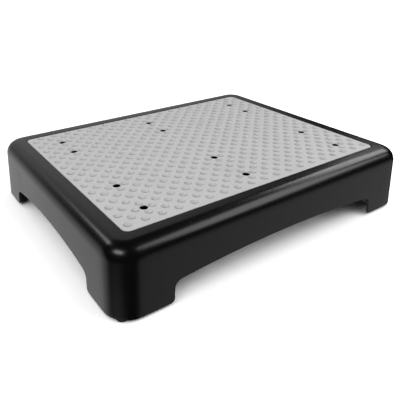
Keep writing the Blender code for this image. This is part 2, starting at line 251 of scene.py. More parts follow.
def rounding(depth, steps):
    """Loops over the top rounding, from the wall to the flat rim, at a depth inside the surface."""
    lean = math.atan(LEAN)
    radius = EDGE_REACH / math.tan((math.pi / 2 - lean) / 2)
    start = TOP - radius + radius * math.sin(lean)
    plan = [half - LEAN * (start - BOTTOM) - PLAN_RADIUS for half in (HALF_LENGTH, HALF_DEPTH)]
    edge = [half - LEAN * (TOP - BOTTOM) - EDGE_REACH for half in (HALF_LENGTH, HALF_DEPTH)]
    loops = []
    for i in range(steps + 1):
        rise = lean + (math.pi / 2 - lean) * i / steps
        out = (radius - depth) * math.cos(rise)
        z = TOP - radius + (radius - depth) * math.sin(rise)
        loops.append(ring(z, edge[0] + out, edge[1] + out, edge[0] + out - plan[0]))
    return loops


def lip(depth_from, depth_to, top):
    """Loops round the small rounding at a wall's lower edge, from one face of the wall to its middle."""
    loops = []
    for i in range(LIP_STEPS + 1):
        a = math.pi / 2 * i / LIP_STEPS
        depth = depth_from + (depth_to - depth_from) * (1 - math.cos(a))
        loops.append(wall_ring(0.0, depth, LIP_RADIUS * (1 - math.sin(a)), top))
    return loops


def lofted(loops):
    """A closed skin through a list of loops, with a flat face at each end."""
    shape = bmesh.new()
    rows = [[shape.verts.new(p) for p in loop] for loop in loops]
    for first, second in zip(rows, rows[1:]):
        for i in range(len(first)):
            j = (i + 1) % len(first)
            shape.faces.new((first[i], first[j], second[j], second[i]))
    shape.faces.new(rows[0][::-1])
    shape.faces.new(rows[-1])
    bmesh.ops.recalc_face_normals(shape, faces=shape.faces)
    return shape


def tray_ring(z, grow):
    return ring(z, mat_high.x + TRAY_GAP + grow, mat_high.y + TRAY_GAP + grow, TRAY_RADIUS + grow)


outer_round = rounding(0.0, steps=18)
inner_round = rounding(WALL, steps=10)
outer_start = outer_round[0][:, 2].max()
inner_start = inner_round[0][:, 2].max()
tray_lip = []
for lip_step in range(LIP_STEPS + 1):
    lift = math.pi / (2 * LIP_STEPS) * lip_step
    tray_lip.append(tray_ring(TOP - TRAY_LIP * (1 - math.sin(lift)), TRAY_LIP * (1 - math.cos(lift))))
skin = [tray_ring(TRAY_FLOOR, 0.0), tray_ring(TRAY_FLOOR + WALL / 2, 0.0), *tray_lip]
skin += [tray_ring(TOP, 2 * TRAY_LIP)]
skin += reversed(outer_round)
skin += [wall_ring(s, 0.0, LIP_RADIUS, outer_start) for s in OUTER_SHARES]
skin += lip(0.0, LIP_RADIUS, outer_start)
skin += reversed(lip(WALL, WALL - LIP_RADIUS, inner_start))
skin += [wall_ring(s, WALL, LIP_RADIUS, inner_start) for s in INNER_SHARES]
skin += inner_round
skin += [tray_ring(TOP - WALL, WALL), tray_ring(DECK_UNDERSIDE, WALL)]
shell = new_piece("step_shell", to_mesh(lofted(skin), "step_shell"))


def foot_places():
    """The feet lie on the corners' diagonals, close under the outer surface of the shell."""
    step = (PLAN_RADIUS - FOOT_INSET - FOOT_RADIUS) / math.sqrt(2)
    x = HALF_LENGTH - PLAN_RADIUS + step
    y = HALF_DEPTH - PLAN_RADIUS + step
    return [(-x, -y), (x, -y), (-x, y), (x, y)]


def drain_places():
    return [(LATTICE_X + STUD_PITCH * a, LATTICE_Y + STUD_PITCH * b)
            for a in DRAIN_STEPS_X for b in DRAIN_STEPS_Y]


def new_tree(name, inputs):
    """A Geometry Nodes tree with named inputs, and the identifiers of those inputs."""
    tree = bpy.data.node_groups.new(name, "GeometryNodeTree")
    keys = {}
    for title, kind in {"Geometry": "Geometry", **inputs}.items():
        socket = tree.interface.new_socket(name=title, in_out="INPUT", socket_type="NodeSocket" + kind)
        keys[title] = socket.identifier
    tree.interface.new_socket(name="Geometry", in_out="OUTPUT", socket_type="NodeSocketGeometry")
    return tree, add_node(tree, "NodeGroupInput").outputs, keys


def run_tree(piece, tree, keys, values):
    """Runs a tree on a piece with its inputs set, and leaves the plain mesh that it makes."""
    step = piece.modifiers.new(tree.name, "NODES")
    step.node_group = tree
    for title, value in values.items():
        step[keys[title]] = value
    return finished(piece)


def end_tree(tree, geometry, material):
    """Realizes a tree's copies, gives them their material and sends them out."""
    real = add_node(tree, "GeometryNodeRealizeInstances", {0: geometry})
    dressed = add_node(tree, "GeometryNodeSetMaterial", {"Geometry": real.outputs[0], "Material": material})
    add_node(tree, "NodeGroupOutput", {0: dressed.outputs[0]})


def rib_tree():
    """Two crossing rows of deep bars with half-round lower edges, a pitch apart, centred."""
    tree, given, keys = new_tree("rib grid", {
        "Pitch X": "Float", "Pitch Y": "Float", "Count X": "Int", "Count Y": "Int", "Length X": "Float",
        "Length Y": "Float", "Thickness": "Float", "Low": "Float", "High": "Float", "Material": "Material"})
    height = add_node(tree, "ShaderNodeMath", {0: given["High"], 1: given["Low"]}, operation="SUBTRACT")
    middle = add_node(tree, "ShaderNodeMath", {0: given["High"], 1: given["Low"]}, operation="ADD")
    level = add_node(tree, "ShaderNodeMath", {0: middle.outputs[0], 1: 0.5}, operation="MULTIPLY")
    half = add_node(tree, "ShaderNodeMath", {0: given["Thickness"], 1: 0.5}, operation="MULTIPLY")
    rows = []
    for pitch, count, length, turn in (("Pitch X", "Count X", "Length Y", 0.0),
                                       ("Pitch Y", "Count Y", "Length X", math.pi / 2)):
        size = add_node(tree, "ShaderNodeCombineXYZ",
                        {0: given["Thickness"], 1: given[length], 2: height.outputs[0]})
        bar = add_node(tree, "GeometryNodeMeshCube", {"Size": size.outputs[0], "Vertices X": 5})
        spot = add_node(tree, "GeometryNodeInputPosition")
        axes = add_node(tree, "ShaderNodeSeparateXYZ", {0: spot.outputs[0]})
        below = add_node(tree, "ShaderNodeMath", {0: axes.outputs["Z"], 1: 0.0}, operation="LESS_THAN")
        across = add_node(tree, "ShaderNodeMath", {0: axes.outputs["X"], 1: half.outputs[0]},
                          operation="DIVIDE")
        square = add_node(tree, "ShaderNodeMath", {0: across.outputs[0], 1: 2.0}, operation="POWER")
        rest = add_node(tree, "ShaderNodeMath", {0: 1.0, 1: square.outputs[0]}, operation="SUBTRACT",
                        use_clamp=True)
        root = add_node(tree, "ShaderNodeMath", {0: rest.outputs[0]}, operation="SQRT")
        gap = add_node(tree, "ShaderNodeMath", {0: 1.0, 1: root.outputs[0]}, operation="SUBTRACT")
        lift = add_node(tree, "ShaderNodeMath", {0: gap.outputs[0], 1: half.outputs[0]},
                        operation="MULTIPLY")
        shift = add_node(tree, "ShaderNodeCombineXYZ", {2: lift.outputs[0]})
        bar = add_node(tree, "GeometryNodeSetPosition", {
            "Geometry": bar.outputs[0], "Selection": below.outputs[0], "Offset": shift.outputs[0]})
        last = add_node(tree, "ShaderNodeMath", {0: given[count], 1: 1.0}, operation="SUBTRACT")
        span = add_node(tree, "ShaderNodeMath", {0: last.outputs[0], 1: given[pitch]},
                        operation="MULTIPLY")
        first = add_node(tree, "ShaderNodeMath", {0: span.outputs[0], 1: -0.5}, operation="MULTIPLY")
        start = add_node(tree, "ShaderNodeCombineXYZ", {0: first.outputs[0]})
        offset = add_node(tree, "ShaderNodeCombineXYZ", {0: given[pitch]})
        line = add_node(tree, "GeometryNodeMeshLine", {
            "Count": given[count], "Start Location": start.outputs[0], "Offset": offset.outputs[0]},
            mode="OFFSET")
        copies = add_node(tree, "GeometryNodeInstanceOnPoints",
                          {"Points": line.outputs[0], "Instance": bar.outputs[0]})
        place = add_node(tree, "ShaderNodeCombineXYZ", {2: level.outputs[0]})
        rows.append(add_node(tree, "GeometryNodeTransform", {
            "Geometry": copies.outputs[0], "Translation": place.outputs[0],
            "Rotation": (0.0, 0.0, turn)}).outputs[0])
    both = add_node(tree, "GeometryNodeJoinGeometry", {0: rows[0]})
    tree.links.new(rows[1], both.inputs[0])
    end_tree(tree, both.outputs[0], given["Material"])
    return tree, keys


def add_box(shape, low, high):
    middle = [(a + b) / 2 for a, b in zip(low, high)]
    size = [b - a for a, b in zip(low, high)]
    bmesh.ops.create_cube(shape, size=1.0,
                          matrix=Matrix.Translation(middle) @ Matrix.Diagonal((*size, 1.0)))


def add_cylinder(shape, x, y, low, high, radius, sides=40, top_radius=None):
    bmesh.ops.create_cone(shape, cap_ends=True, segments=sides, radius1=radius,
                          radius2=radius if top_radius is None else top_radius, depth=high - low,
                          matrix=Matrix.Translation((x, y, (low + high) / 2)))


def gussets_and_bosses():
    """Upright webs inside the legs under the outermost ribs, and the bosses over the feet."""
    shape = bmesh.new()
    half = RIB_THICKNESS / 2
    low, high = BOTTOM + GUSSET_LIFT, RIB_BOTTOM + 2 * WALL
    last_x = RIB_PITCH_X * (RIB_COUNT_X - 1) / 2
    last_y = RIB_PITCH_Y * (RIB_COUNT_Y - 1) / 2
    for side in (-1, 1):
        for end in (-1, 1):
            ys = sorted((side * HALF_DEPTH, side * (HALF_DEPTH - GUSSET_REACH)))
            add_box(shape, (end * last_x - half, ys[0], low), (end * last_x + half, ys[1], high))
            xs = sorted((side * HALF_LENGTH, side * (HALF_LENGTH - GUSSET_REACH)))
            add_box(shape, (xs[0], end * last_y - half, low), (xs[1], end * last_y + half, high))
    for x, y in foot_places():
        add_cylinder(shape, x, y, BOTTOM, BOSS_TOP, BOSS_RADIUS)
    return shape


def cut_or_join(piece, shape, operation, overlaps=False):
    """Applies one exact Boolean to a piece with a throwaway mesh."""
    other = shape if isinstance(shape, bpy.types.Object) else new_piece("tool", to_mesh(shape, "tool"))
    step = piece.modifiers.new(operation, "BOOLEAN")
    step.operation = operation
    step.solver = "EXACT"
    step.use_self = overlaps
    step.object = other
    finished(piece)
    bpy.data.objects.remove(other)


def polypropylene():
    """Black polypropylene, injection moulded: satin, with broad clean reflections. A fine mould grain
    breaks them up a little, faint sinks show over the ribs, and handling leaves soft dull smudges."""
    material, tree, shader = new_material("black moulded polypropylene", "#080808", IOR=1.49)
    place = add_node(tree, "ShaderNodeTexCoord").outputs["Object"]
    normal = add_node(tree, "ShaderNodeNewGeometry").outputs["Normal"]
    smudge = add_node(tree, "ShaderNodeTexNoise", {
        "Vector": place, "Scale": 1 / 0.09, "Detail": 4.0, "Roughness": 0.55})
    fine = add_node(tree, "ShaderNodeTexNoise", {
        "Vector": place, "Scale": 1 / 0.006, "Detail": 3.0, "Roughness": 0.6})
    blend = add_node(tree, "ShaderNodeMix", {
        0: 0.30, 2: smudge.outputs["Fac"], 3: fine.outputs["Fac"]}, data_type="FLOAT")
    dull = add_node(tree, "ShaderNodeMapRange", {
        "Value": blend.outputs[0], "From Min": 0.3, "From Max": 0.7, "To Min": 0.22, "To Max": 0.29})
    tree.links.new(dull.outputs[0], shader.inputs["Roughness"])
    tone = add_node(tree, "ShaderNodeMix", {
        0: smudge.outputs["Fac"], 6: to_linear("#060606"), 7: to_linear("#0a0a0a")}, data_type="RGBA")
    tree.links.new(tone.outputs[2], shader.inputs["Base Color"])
    axes = add_node(tree, "ShaderNodeSeparateXYZ", {0: place})
    faces = add_node(tree, "ShaderNodeSeparateXYZ", {0: normal})
    sinks = []
    for axis, other, pitch in (("X", "Y", RIB_PITCH_X), ("Y", "X", RIB_PITCH_Y)):
        fold = add_node(tree, "ShaderNodeMath", {0: axes.outputs[axis], 1: pitch / 2},
                        operation="PINGPONG")
        near = add_node(tree, "ShaderNodeMapRange", {
            "Value": fold.outputs[0], "From Min": pitch / 2 - SINK_WIDTH, "From Max": pitch / 2},
            interpolation_type="SMOOTHERSTEP")
        facing = add_node(tree, "ShaderNodeMath", {0: faces.outputs[other]}, operation="ABSOLUTE")
        upright = add_node(tree, "ShaderNodeMapRange", {
            "Value": facing.outputs[0], "From Min": 0.93, "From Max": 0.99})
        sinks.append(add_node(tree, "ShaderNodeMath", {0: near.outputs[0], 1: upright.outputs[0]},
                              operation="MULTIPLY").outputs[0])
    sink = add_node(tree, "ShaderNodeMath", {0: sinks[0], 1: sinks[1]}, operation="ADD")
    hollow = add_node(tree, "ShaderNodeBump", {
        "Height": sink.outputs[0], "Distance": SINK_DEPTH, "Strength": 1.0}, invert=True)
    grain = add_node(tree, "ShaderNodeTexNoise", {
        "Vector": place, "Scale": 1 / GRAIN_SIZE, "Detail": 2.0, "Roughness": 0.5})
    skin_bump = add_node(tree, "ShaderNodeBump", {
        "Height": grain.outputs["Fac"], "Distance": 0.00002, "Strength": 0.5,
        "Normal": hollow.outputs[0]})
    tree.links.new(skin_bump.outputs[0], shader.inputs["Normal"])
    return material


black_plastic = polypropylene()
rib_nodes, rib_keys = rib_tree()
ribs = run_tree(new_piece("ribs", bpy.data.meshes.new("ribs")), rib_nodes, rib_keys, {
    "Pitch X": RIB_PITCH_X, "Pitch Y": RIB_PITCH_Y, "Count X": RIB_COUNT_X, "Count Y": RIB_COUNT_Y,
    "Length X": 2 * HALF_LENGTH, "Length Y": 2 * HALF_DEPTH, "Thickness": RIB_THICKNESS,
    "Low": RIB_BOTTOM, "High": DECK_UNDERSIDE + WALL / 2, "Material": black_plastic})
stiffening = gussets_and_bosses()
stiffening.from_mesh(ribs.data)
bpy.data.objects.remove(ribs)
inside = new_piece("stiffening", to_mesh(stiffening, "stiffening"))
middle_round = rounding(WALL / 2, steps=6)
middle_loops = [ring(BOTTOM, HALF_LENGTH - WALL / 2, HALF_DEPTH - WALL / 2, PLAN_RADIUS - WALL / 2),
                *middle_round]
cut_or_join(inside, new_piece("trim", to_mesh(lofted(middle_loops), "trim")), "INTERSECT", overlaps=True)
cut_or_join(shell, inside, "UNION")
# Painted shade: a thin black lining, joined to the deck, covers the wall of each drain hole in the mat so
# that the holes read dark.
shade_linings = bmesh.new()
drains = bmesh.new()
for hole_x, hole_y in drain_places():
    add_cylinder(shade_linings, hole_x, hole_y, TRAY_FLOOR - WALL / 2, mat_high.z - SHADE_LINING_DROP,
                 DRAIN_RADIUS - SHADE_LINING_GAP)
    add_cylinder(drains, hole_x, hole_y, DECK_UNDERSIDE - WALL, TOP + WALL,
                 DRAIN_RADIUS - SHADE_LINING_GAP - SHADE_LINING_WALL)
cut_or_join(shell, shade_linings, "UNION")
cut_or_join(shell, drains, "DIFFERENCE")
sockets = bmesh.new()
pilots = bmesh.new()
for foot_x, foot_y in foot_places():
    add_cylinder(sockets, foot_x, foot_y, BOTTOM - WALL, SOCKET_TOP, SOCKET_RADIUS)
    add_cylinder(pilots, foot_x, foot_y, BOTTOM - WALL, PILOT_TOP, PILOT_RADIUS, sides=20)
cut_or_join(shell, sockets, "DIFFERENCE")
cut_or_join(shell, pilots, "DIFFERENCE")
shell.data.materials.clear()
shell.data.materials.append(black_plastic)
smooth(shell, 28)
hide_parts("shell", "rib_grid")
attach(shell, "root")

# ---------------------------------------------------------------------------------------------
# Feet: black rubber buttons moulded in one piece, each with a spigot that sits in its boss and a
# recess for the washer and screw head. The edge that meets the floor is rounded.

foot_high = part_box("front_left_foot")[1]
FOOT_TOP = BOTTOM - SEAT_GAP
FOOT_WAIST = 0.0002
WAIST_LIFT = 0.0002
FOOT_BREAK = 0.0004  # the small rounding of the upper edges
FOOT_SPIGOT_RADIUS = 0.0055
COUNTERBORE_RADIUS = 0.0043
COUNTERBORE_TOP = 0.0036
COUNTERBORE_BREAK = 0.0003
FOOT_BORE = 0.00205
FOOT_EDGE = 0.0010
GROOVE_DEPTH = 0.0003  # a ring groove in the sole, with sloping sides
GROOVE_OUTER = 0.0064
GROOVE_INNER = 0.0055
GROOVE_SLOPE = 0.0002


def turned(name, profile, steps):
    """A closed profile of (radius, height) points, in order round the section, spun about Z."""
    shape = bmesh.new()
    rows = []
    for i in range(steps):
        a = 2 * math.pi * i / steps
        rows.append([shape.verts.new((r * math.cos(a), r * math.sin(a), z)) for r, z in profile])
    for i, row in enumerate(rows):
        other = rows[(i + 1) % steps]
        for j in range(len(profile)):
            k = (j + 1) % len(profile)
            shape.faces.new((row[j], other[j], other[k], row[k]))
    bmesh.ops.remove_doubles(shape, verts=shape.verts, dist=1e-7)
    bmesh.ops.dissolve_degenerate(shape, edges=shape.edges, dist=1e-8)
    bmesh.ops.recalc_face_normals(shape, faces=shape.faces)
    return new_piece(name, to_mesh(shape, name))


def corner_tree():
    """Copies one piece to every point of a mesh, and gives the copies one material."""
    tree, given, keys = new_tree("one at each leg", {"Piece": "Object", "Material": "Material"})
    source = add_node(tree, "GeometryNodeObjectInfo", {"Object": given["Piece"]})
    copies = add_node(tree, "GeometryNodeInstanceOnPoints",
                      {"Points": given["Geometry"], "Instance": source.outputs["Geometry"]})
    end_tree(tree, copies.outputs[0], given["Material"])
    return tree, keys


corner_nodes, corner_keys = corner_tree()


def at_each_leg(name, pattern, material, kind, degrees=35):
    """One piece that stands for the four CAD nodes of a kind."""
    mesh = bpy.data.meshes.new(name)
    mesh.from_pydata([(x, y, 0.0) for x, y in foot_places()], [], [])
    piece = run_tree(new_piece(name, mesh), corner_nodes, corner_keys,
                     {"Piece": pattern, "Material": material})
    bpy.data.objects.remove(pattern)
    smooth(piece, degrees)
    corners = ("front_left", "front_right", "rear_left", "rear_right")
    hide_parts(*[f"{corner}_{kind}" for corner in corners])
    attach(piece, "root")


def foot_rubber():
    """Black rubber, moulded: nearly matt, with a dusty bloom and a soft grainy skin."""
    material, tree, shader = new_material("black moulded foot rubber", "#1d1c1b", IOR=1.52)
    place = add_node(tree, "ShaderNodeTexCoord").outputs["Object"]
    bloom = add_node(tree, "ShaderNodeTexNoise", {"Vector": place, "Scale": 1 / 0.004, "Detail": 4.0})
    tone = add_node(tree, "ShaderNodeMix", {
        0: bloom.outputs["Fac"], 6: to_linear("#151515"), 7: to_linear("#2b2a28")}, data_type="RGBA")
    tree.links.new(tone.outputs[2], shader.inputs["Base Color"])
    dull = add_node(tree, "ShaderNodeMapRange", {
        "Value": bloom.outputs["Fac"], "To Min": 0.62, "To Max": 0.85})
    tree.links.new(dull.outputs[0], shader.inputs["Roughness"])
    grain = add_node(tree, "ShaderNodeTexNoise", {"Vector": place, "Scale": 1 / 0.0004, "Detail": 2.0})
    skin_bump = add_node(tree, "ShaderNodeBump", {
        "Height": grain.outputs["Fac"], "Distance": 0.00004, "Strength": 0.6})
    tree.links.new(skin_bump.outputs[0], shader.inputs["Normal"])
    return material


foot_profile = [(FOOT_BORE, COUNTERBORE_TOP), (FOOT_BORE, foot_high.z),
                (FOOT_SPIGOT_RADIUS - FOOT_BREAK, foot_high.z),
                (FOOT_SPIGOT_RADIUS, foot_high.z - FOOT_BREAK), (FOOT_SPIGOT_RADIUS, FOOT_TOP)]
foot_profile += arc((FOOT_RADIUS - FOOT_BREAK, FOOT_TOP - FOOT_BREAK), FOOT_BREAK, math.pi / 2, 0.0, 4)
foot_profile += [(FOOT_RADIUS - FOOT_WAIST, FOOT_TOP / 2 + WAIST_LIFT)]
foot_profile += arc((FOOT_RADIUS - FOOT_EDGE, FOOT_EDGE), FOOT_EDGE, 0.0, -math.pi / 2, 7)
foot_profile += [(GROOVE_OUTER, 0.0), (GROOVE_OUTER - GROOVE_SLOPE, GROOVE_DEPTH),
                 (GROOVE_INNER + GROOVE_SLOPE, GROOVE_DEPTH), (GROOVE_INNER, 0.0)]
foot_profile += [(COUNTERBORE_RADIUS + COUNTERBORE_BREAK, 0.0), (COUNTERBORE_RADIUS, COUNTERBORE_BREAK),
                 (COUNTERBORE_RADIUS, COUNTERBORE_TOP)]
at_each_leg("rubber_feet", turned("foot", foot_profile, 56), foot_rubber(), "foot")

# ---------------------------------------------------------------------------------------------
# Washers and screws: zinc-plated steel. Each pan-head screw goes up through its washer and foot into
# the boss, and cuts its own thread in the plastic. The washer spreads the head's load on the rubber.

washer_low, washer_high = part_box("front_left_washer")
screw_low, screw_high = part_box("front_left_screw")
WASHER_RADIUS = 0.0040
WASHER_BREAK = 0.00015  # the stamped edge's small rounding
SHANK_RADIUS = 0.00175
ROOT_RADIUS = 0.00125
THREAD_PITCH = 0.0013
THREAD_SHARES = (0.25, 0.1, 0.4)  # upper flank, flat crest, lower flank with its crest, of a pitch
HEAD_RADIUS = 0.0034
HEAD_HEIGHT = 0.0016
HEAD_BREAK = 0.0001
HEAD_ROUND = 0.0009
POINT_LENGTH = 0.0025
DRIVE_DEPTH = 0.0010
DRIVE_WIDTH = 0.0009
DRIVE_SPAN = 0.0036
DRIVE_CLEAR = 0.0005  # how far the recess's cutter stands out of the head


def zinc_steel():
    """Bright zinc plate on steel: pale metal, softly mirrored, with cloudy patches from the bath."""
    material, tree, shader = new_material("bright zinc-plated steel", "#c3c5c8", Metallic=1.0)
    place = add_node(tree, "ShaderNodeTexCoord").outputs["Object"]
    cloud = add_node(tree, "ShaderNodeTexNoise", {"Vector": place, "Scale": 1 / 0.0015, "Detail": 3.0})
    tone = add_node(tree, "ShaderNodeMix", {
        0: cloud.outputs["Fac"], 6: to_linear("#aeb1b6"), 7: to_linear("#d3d4d6")}, data_type="RGBA")
    tree.links.new(tone.outputs[2], shader.inputs["Base Color"])
    dull = add_node(tree, "ShaderNodeMapRange", {
        "Value": cloud.outputs["Fac"], "To Min": 0.22, "To Max": 0.42})
    tree.links.new(dull.outputs[0], shader.inputs["Roughness"])
    scratch = add_node(tree, "ShaderNodeTexNoise", {"Vector": place, "Scale": 1 / 0.0003, "Detail": 2.0})
    marks = add_node(tree, "ShaderNodeBump", {
        "Height": scratch.outputs["Fac"], "Distance": 0.00001, "Strength": 0.4})
    tree.links.new(marks.outputs[0], shader.inputs["Normal"])
    return material


def screw_profile():
    """The screw's half section from its point down to its head, the thread drawn as rings."""
    shoulder = screw_high.z - POINT_LENGTH
    head_top = screw_low.z + HEAD_HEIGHT
    rows = [(0.0, screw_high.z)]
    rise, flat, fall = THREAD_SHARES
    turns = int((shoulder - head_top - THREAD_PITCH) / THREAD_PITCH)
    for i in range(turns):
        crest = shoulder - i * THREAD_PITCH
        rows += [(ROOT_RADIUS, crest + rise * THREAD_PITCH), (SHANK_RADIUS, crest),
                 (SHANK_RADIUS, crest - flat * THREAD_PITCH), (ROOT_RADIUS, crest - fall * THREAD_PITCH)]
    rows += [(ROOT_RADIUS, head_top), (HEAD_RADIUS - HEAD_BREAK, head_top)]
    rows += [(HEAD_RADIUS, head_top - HEAD_BREAK)]
    rows += arc((HEAD_RADIUS - HEAD_ROUND, screw_low.z + HEAD_ROUND), HEAD_ROUND, 0.0, -math.pi / 2, 8)
    return rows + [(0.0, screw_low.z)]


steel = zinc_steel()
washer_profile = [(FOOT_BORE, washer_low.z), (FOOT_BORE, washer_high.z)]
washer_profile += arc((WASHER_RADIUS - WASHER_BREAK, washer_high.z - WASHER_BREAK), WASHER_BREAK,
                      math.pi / 2, 0.0, 3)
washer_profile += arc((WASHER_RADIUS - WASHER_BREAK, washer_low.z + WASHER_BREAK), WASHER_BREAK,
                      0.0, -math.pi / 2, 3)
at_each_leg("foot_washers", turned("washer", washer_profile, 48), steel, "washer")
screw = turned("screw", screw_profile(), 40)
drive = bmesh.new()
for half_x, half_y in ((DRIVE_SPAN / 2, DRIVE_WIDTH / 2), (DRIVE_WIDTH / 2, DRIVE_SPAN / 2)):
    add_box(drive, (-half_x, -half_y, screw_low.z - DRIVE_CLEAR),
            (half_x, half_y, screw_low.z + DRIVE_DEPTH))
cut_or_join(screw, drive, "DIFFERENCE", overlaps=True)
at_each_leg("foot_screws", screw, steel, "screw", 30)

# ---------------------------------------------------------------------------------------------
# Bonding film: double-sided tape laid over the tray's floor, which holds the mat down. It is hidden:
# the mat covers it, and the deck's black hole linings, painted shade, pass through it.

FILM_RADIUS = 0.0035


def bonding_tape():
    """Clear acrylic tape, slightly milky and yellow, with streaks from the coating roller."""
    material, tree, shader = new_material("milky acrylic bonding tape", "#d8d4c4", IOR=1.47)
    place = add_node(tree, "ShaderNodeTexCoord").outputs["Object"]
    roller = add_node(tree, "ShaderNodeMapping", {"Vector": place, "Scale": (1.0, 12.0, 1.0)})
    streak = add_node(tree, "ShaderNodeTexNoise", {
        "Vector": roller.outputs[0], "Scale": 1 / 0.05, "Detail": 3.0})
    tone = add_node(tree, "ShaderNodeMix", {
        0: streak.outputs["Fac"], 6: to_linear("#cdc8b4"), 7: to_linear("#e2dfd2")}, data_type="RGBA")
    tree.links.new(tone.outputs[2], shader.inputs["Base Color"])
    dull = add_node(tree, "ShaderNodeMapRange", {
        "Value": streak.outputs["Fac"], "To Min": 0.35, "To Max": 0.6})
    tree.links.new(dull.outputs[0], shader.inputs["Roughness"])
    return material


film_loops = [ring(z, film_high.x, film_high.y, FILM_RADIUS) for z in (film_low.z, film_high.z)]
film = new_piece("bonding_film_sheet", to_mesh(lofted(film_loops), "bonding_film_sheet"))
film_holes = bmesh.new()
for hole_x, hole_y in drain_places():
    add_cylinder(film_holes, hole_x, hole_y, film_low.z - WALL, film_high.z + WALL, DRAIN_RADIUS)
cut_or_join(film, film_holes, "DIFFERENCE")
film.data.materials.append(bonding_tape())
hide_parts("bonding_film")
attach(film, "root")

# ---------------------------------------------------------------------------------------------
# Mat: a moulded grey rubber sheet with low round studs in staggered rows, for grip in the wet. It
# lies in the tray a hair below the rim, with a narrow dark joint all round, and water leaves through
# twelve drain holes that pass between the studs.

MAT_RADIUS = 0.0095
MAT_EDGE = 0.0005
MAT_EDGE_STEPS = 5
STUD_RADIUS = 0.0060
STUD_HEIGHT = 0.0030
STUD_ROOT = 0.00015  # how far a stud starts below the top of the sheet
STUD_SHOULDER = 2.4  # powers of the stud's profile: higher is flatter on top
STUD_SKIRT = 1.15  # and higher is softer at the foot
STUD_COLUMNS = 19
STUD_ROWS = 14
FIRST_ROW = -7
DRAIN_FLARE = 0.0004


def stud_tree():
    """Two interleaved lattices of low domes, over a sheet that passes through unchanged. A dome is a
    cone whose own depth is replaced by the profile."""
    tree, given, keys = new_tree("studded sheet", {
        "Pitch": "Float", "Columns": "Int", "Rows": "Int", "Stud Radius": "Float",
        "Stud Height": "Float", "Centre": "Vector", "Root": "Float", "Material": "Material"})
    dome = add_node(tree, "GeometryNodeMeshCone", {
        "Vertices": 16, "Side Segments": 5, "Radius Top": 0.0, "Radius Bottom": given["Stud Radius"],
        "Depth": 0.001}, fill_type="NGON")
    spot = add_node(tree, "GeometryNodeInputPosition")
    axes = add_node(tree, "ShaderNodeSeparateXYZ", {0: spot.outputs[0]})
    flat = add_node(tree, "ShaderNodeCombineXYZ", {0: axes.outputs[0], 1: axes.outputs[1]})
    out = add_node(tree, "ShaderNodeVectorMath", {0: flat.outputs[0]}, operation="LENGTH")
    share = add_node(tree, "ShaderNodeMath", {0: out.outputs["Value"], 1: given["Stud Radius"]},
                     operation="DIVIDE")
    square = add_node(tree, "ShaderNodeMath", {0: share.outputs[0], 1: STUD_SHOULDER}, operation="POWER")
    rise = add_node(tree, "ShaderNodeMath", {0: 1.0, 1: square.outputs[0]}, operation="SUBTRACT",
                    use_clamp=True)
    bulge = add_node(tree, "ShaderNodeMath", {0: rise.outputs[0], 1: STUD_SKIRT}, operation="POWER")
    full = add_node(tree, "ShaderNodeMath", {0: given["Stud Height"], 1: given["Root"]}, operation="ADD")
    height = add_node(tree, "ShaderNodeMath", {0: bulge.outputs[0], 1: full.outputs[0]},
                      operation="MULTIPLY")
    level = add_node(tree, "ShaderNodeMath", {0: height.outputs[0], 1: given["Root"]},
                     operation="SUBTRACT")
    raised = add_node(tree, "ShaderNodeCombineXYZ",
                      {0: axes.outputs[0], 1: axes.outputs[1], 2: level.outputs[0]})
    dome = add_node(tree, "GeometryNodeSetPosition",
                    {"Geometry": dome.outputs[0], "Position": raised.outputs[0]})
    dome = add_node(tree, "GeometryNodeSetShadeSmooth", {"Geometry": dome.outputs[0]})
    both = add_node(tree, "GeometryNodeJoinGeometry", {0: given["Geometry"]})
    for columns_off, half_steps in ((0, 0.0), (1, 0.5)):
        columns = add_node(tree, "ShaderNodeMath", {0: given["Columns"], 1: float(columns_off)},
                           operation="SUBTRACT")
        wide = add_node(tree, "ShaderNodeMath", {0: columns.outputs[0], 1: 1.0}, operation="SUBTRACT")
        tall = add_node(tree, "ShaderNodeMath", {0: given["Rows"], 1: 1.0}, operation="SUBTRACT")
        size_x = add_node(tree, "ShaderNodeMath", {0: wide.outputs[0], 1: given["Pitch"]},
                          operation="MULTIPLY")
        size_y = add_node(tree, "ShaderNodeMath", {0: tall.outputs[0], 1: given["Pitch"]},
                          operation="MULTIPLY")
        grid = add_node(tree, "GeometryNodeMeshGrid", {
            "Size X": size_x.outputs[0], "Size Y": size_y.outputs[0],
            "Vertices X": columns.outputs[0], "Vertices Y": given["Rows"]})
        step = add_node(tree, "ShaderNodeMath", {0: given["Pitch"], 1: half_steps},
                        operation="MULTIPLY")
        shift = add_node(tree, "ShaderNodeCombineXYZ", {1: step.outputs[0]})
        place = add_node(tree, "ShaderNodeVectorMath", {0: given["Centre"], 1: shift.outputs[0]},
                         operation="ADD")
        moved = add_node(tree, "GeometryNodeTransform",
                         {"Geometry": grid.outputs[0], "Translation": place.outputs[0]})
        copies = add_node(tree, "GeometryNodeInstanceOnPoints",
                          {"Points": moved.outputs[0], "Instance": dome.outputs[0]})
        tree.links.new(copies.outputs[0], both.inputs[0])
    end_tree(tree, both.outputs[0], given["Material"])
    return tree, keys


